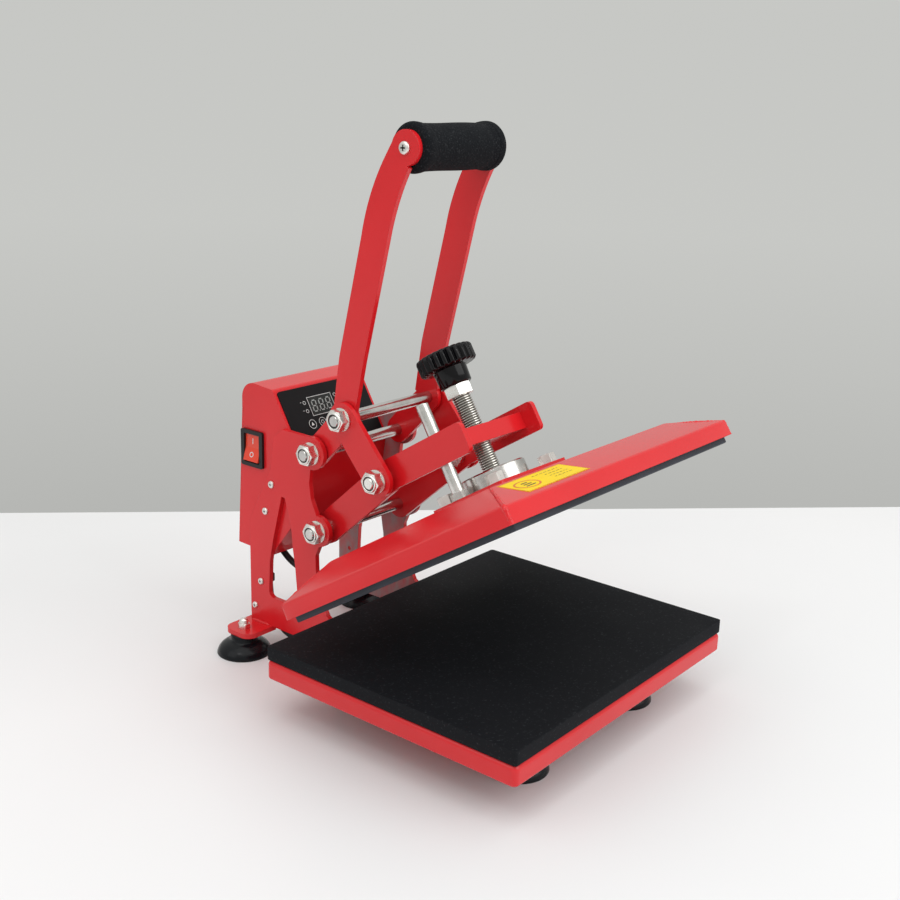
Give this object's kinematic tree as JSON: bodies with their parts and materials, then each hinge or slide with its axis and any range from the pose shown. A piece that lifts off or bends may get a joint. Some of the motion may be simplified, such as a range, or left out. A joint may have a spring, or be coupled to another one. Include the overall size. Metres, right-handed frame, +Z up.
{
  "type": "heat press",
  "caption": "Open clamshell heat press: red sheet frame, padded lower bed, tilted heated platen on a toggle linkage, foam-grip handle, pressure knob and control box.",
  "frame": {"origin": "on the table under the middle of the machine's length and width, cord left out", "axes": "+Z up, +Y towards the machine's back, +X towards its right seen from the front"},
  "size_m": [0.3158, 0.3939, 0.4804],
  "materials": {
    "red_powder_coat": "satin",
    "black_steel": "satin",
    "turned_steel": "satin",
    "bright_nickel": "polished",
    "zinc_screw": "satin",
    "bronze": "satin",
    "cast_aluminium": "coated",
    "ceramic_blanket": "matte",
    "silicone_pad": "matte",
    "black_foam": "matte",
    "black_rubber": "satin",
    "knob_black": "gloss",
    "switch_red": "gloss",
    "switch_black": "satin",
    "panel_film": "satin",
    "smoked_window": "gloss",
    "board_green": "satin",
    "label_yellow": "satin"
  },
  "bodies": {
    "base": {"lower_tray": "red_powder_coat", "base_pad": "silicone_pad", "left_side_plate": "red_powder_coat", "right_side_plate": "red_powder_coat", "tray_cross_bars": "black_steel", "frame_screws": "zinc_screw", "suction_feet": "black_rubber", "foot_nuts": "bright_nickel", "control_box": "red_powder_coat", "box_back_cover": "red_powder_coat", "box_screws": "zinc_screw", "control_panel": "panel_film", "display_window": "smoked_window", "panel_buttons": "panel_film", "rocker_bezel": "switch_black", "control_board": "board_green", "heater_relay": "switch_black", "cord_gland": "black_rubber", "heater_lead_gland": "black_rubber", "heater_lead": "black_rubber", "cord_clips": "black_rubber", "clip_screws": "zinc_screw", "power_cord": "black_rubber", "cord_coil": "black_rubber", "power_plug": "black_rubber", "handle_pivot_rod": "turned_steel", "arm_pivot_rod": "turned_steel", "pivot_nuts": "bright_nickel", "pivot_washers": "bright_nickel", "pivot_spacers": "turned_steel"},
    "rocker": {"power_rocker": "switch_red"},
    "arm": {"left_arm": "red_powder_coat", "right_arm": "red_powder_coat", "crossbar": "red_powder_coat", "guide_bush": "bronze", "arm_pin_nuts": "bright_nickel"},
    "handle": {"left_handle_bar": "red_powder_coat", "right_handle_bar": "red_powder_coat", "handle_cross_rod": "turned_steel", "handle_rod_nuts": "bright_nickel", "grip_tube": "turned_steel", "foam_grip": "black_foam", "grip_screws": "zinc_screw"},
    "strap": {"left_strap": "red_powder_coat", "right_strap": "red_powder_coat", "strap_pins": "bright_nickel", "strap_spacers": "turned_steel"},
    "platen": {"platen_cover": "red_powder_coat", "cover_grommet": "black_rubber", "heating_plate": "cast_aluminium", "insulation_pad": "ceramic_blanket", "top_plate": "red_powder_coat", "thrust_boss": "turned_steel", "guide_rod": "turned_steel", "plate_bolts": "zinc_screw", "cover_label": "label_yellow"},
    "screw": {"pressure_screw": "turned_steel", "screw_locknut": "bright_nickel", "knob": "knob_black"}
  },
  "joints": [
    {"name": "arm_swing", "type": "hinge", "parent": "base", "child": "arm", "pos_m": [0, 0.0885, 0.1315], "axis": [1, 0, 0], "range_deg": [0, 31.9], "deforming": ["heater_lead"]},
    {"name": "handle_pull", "type": "hinge", "parent": "base", "child": "handle", "pos_m": [0, 0.096, 0.201], "axis": [1, 0, 0], "range_deg": [0, 70.3]},
    {"name": "strap_swing", "type": "hinge", "parent": "handle", "child": "strap", "pos_m": [0, 0.0602, 0.238], "axis": [1, 0, 0], "range_deg": [-86.2, 0]},
    {"name": "platen_slide", "type": "slide", "parent": "arm", "child": "platen", "axis": [0, 0.5284, 0.849], "range_m": [0, 0.018]},
    {"name": "knob_turn", "type": "hinge", "parent": "platen", "child": "screw", "pos_m": [0, -0.07917, 0.16328], "axis": [0, 0.5284, 0.849], "range_deg": [0, 3240]},
    {"name": "rocker_tip", "type": "hinge", "parent": "base", "child": "rocker", "pos_m": [-0.0545, 0.1745, 0.189], "axis": [0, -1, 0], "range_deg": [0, 18]}
  ],
  "couplings": [
    {"joint": "handle_pull", "follows": "arm_swing", "ratio": 2.202},
    {"joint": "strap_swing", "follows": "arm_swing", "ratio": -2.7005},
    {"joint": "knob_turn", "follows": "platen_slide", "rad_per_m": 3141.6}
  ]
}
